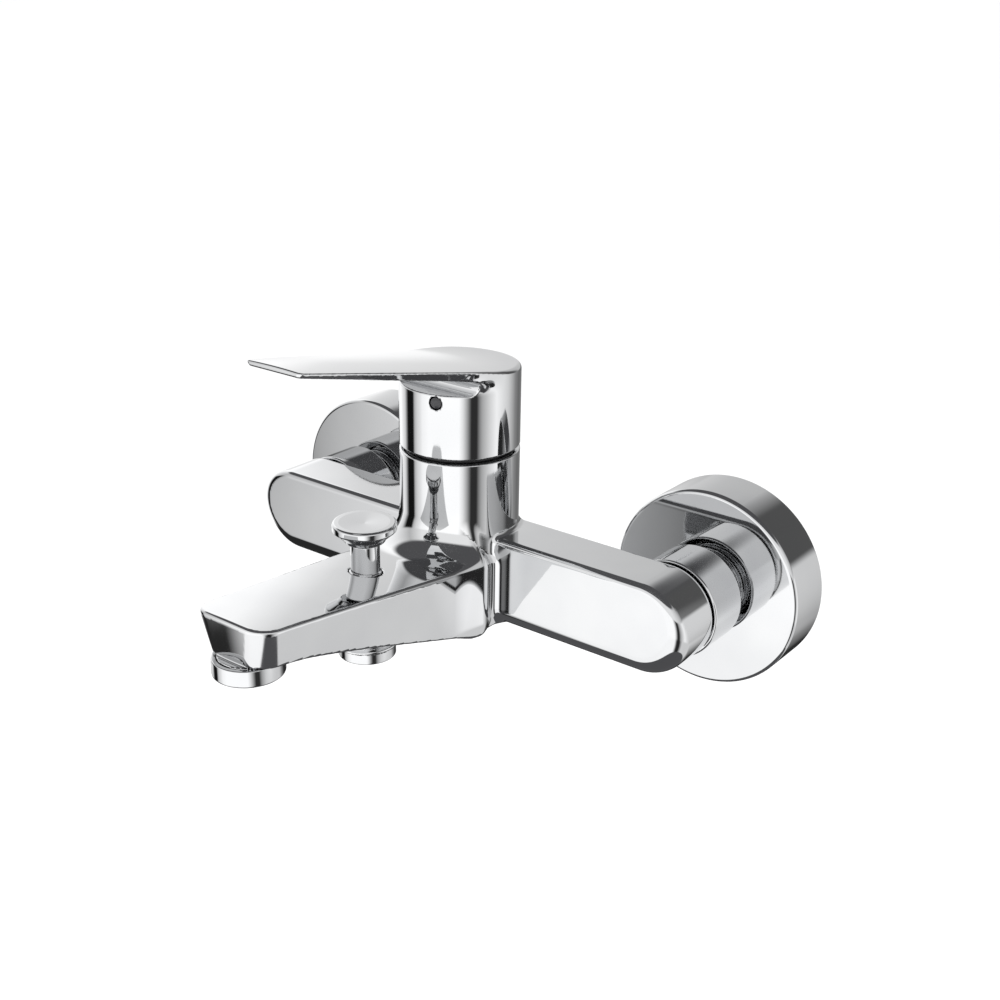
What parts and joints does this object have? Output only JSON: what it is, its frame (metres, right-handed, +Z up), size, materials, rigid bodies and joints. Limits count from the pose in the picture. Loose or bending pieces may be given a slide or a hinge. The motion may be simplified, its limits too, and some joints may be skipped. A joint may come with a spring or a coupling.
{
  "type": "wall mounted bath mixer",
  "caption": "Single-lever bath mixer on a wall bar: domed lever hub on a round tower, flat tapered spout, pull-up diverter knob, shower outlet and round wall rosettes.",
  "frame": {"origin": "on the finished wall face, midway between the two inlet axes, which are 150 mm apart", "axes": "+X along the wall to the right as seen from the room; +Y into the wall; +Z up"},
  "size_m": [0.2184, 0.1799, 0.1232],
  "materials": {
    "chromed_brass": "polished chrome plating on brass",
    "chromed_zinc": "polished chrome plating on cast zinc",
    "chromed_steel": "polished chrome plating on drawn steel",
    "steel": "bright stainless",
    "brass": "machined",
    "ceramic_disc": "lapped",
    "white_plastic": "moulded",
    "grey_plastic": "moulded",
    "black_plastic": "moulded",
    "index_plastic": "moulded",
    "rubber": "moulded"
  },
  "bodies": {
    "fixed_body": {"body": "chromed_brass", "base_gasket": "rubber", "cartridge_base": "grey_plastic", "fixed_disc": "ceramic_disc", "cartridge_housing": "white_plastic", "retaining_nut": "brass", "glide_ring": "black_plastic", "cartridge_cover": "chromed_brass", "diverter_bonnet": "chromed_brass", "diverter_spring": "steel", "shower_outlet": "chromed_brass", "aerator_ring": "chromed_brass", "aerator_insert": "white_plastic", "aerator_screen": "steel", "aerator_seal": "rubber", "rosette_left": "chromed_steel", "rosette_ring_left": "rubber", "wall_union_left": "chromed_brass", "inlet_washer_left": "rubber", "inlet_filter_left": "steel", "union_nut_left": "chromed_brass", "inlet_tail_left": "chromed_brass", "rosette_right": "chromed_steel", "rosette_ring_right": "rubber", "wall_union_right": "chromed_brass", "inlet_washer_right": "rubber", "inlet_filter_right": "steel", "union_nut_right": "chromed_brass", "inlet_tail_right": "chromed_brass"},
    "swivel": {"rotator": "grey_plastic", "pivot_pin": "steel"},
    "handle": {"lever_handle": "chromed_zinc", "stem": "brass", "handle_screw": "steel", "index_plug": "index_plastic"},
    "slider": {"disc_carrier": "grey_plastic", "moving_disc": "ceramic_disc"},
    "plunger": {"diverter_knob": "chromed_brass", "diverter_rod": "steel", "diverter_piston": "brass", "lower_valve_seal": "rubber", "upper_valve_seal": "rubber"}
  },
  "joints": [
    {"name": "temperature", "type": "hinge", "parent": "fixed_body", "child": "swivel", "pos_m": [0, -0.0557, 0.046], "axis": [0, 0, 1], "range_deg": [-45, 45]},
    {"name": "lift", "type": "hinge", "parent": "swivel", "child": "handle", "pos_m": [0, -0.0497, 0.046], "axis": [-1, 0, 0], "range_deg": [0, 16]},
    {"name": "disc_slide", "type": "slide", "parent": "swivel", "child": "slider", "axis": [0, 1, 0], "range_m": [-0.0036, 0]},
    {"name": "diverter_pull", "type": "slide", "parent": "fixed_body", "child": "plunger", "axis": [0, 0, 1], "range_m": [0, 0.005], "stiffness_N_per_m": 120, "springref_m": -0.006, "deforming": ["diverter_spring"]}
  ],
  "couplings": [
    {"joint": "disc_slide", "follows": "lift", "m_per_rad": -0.012}
  ]
}
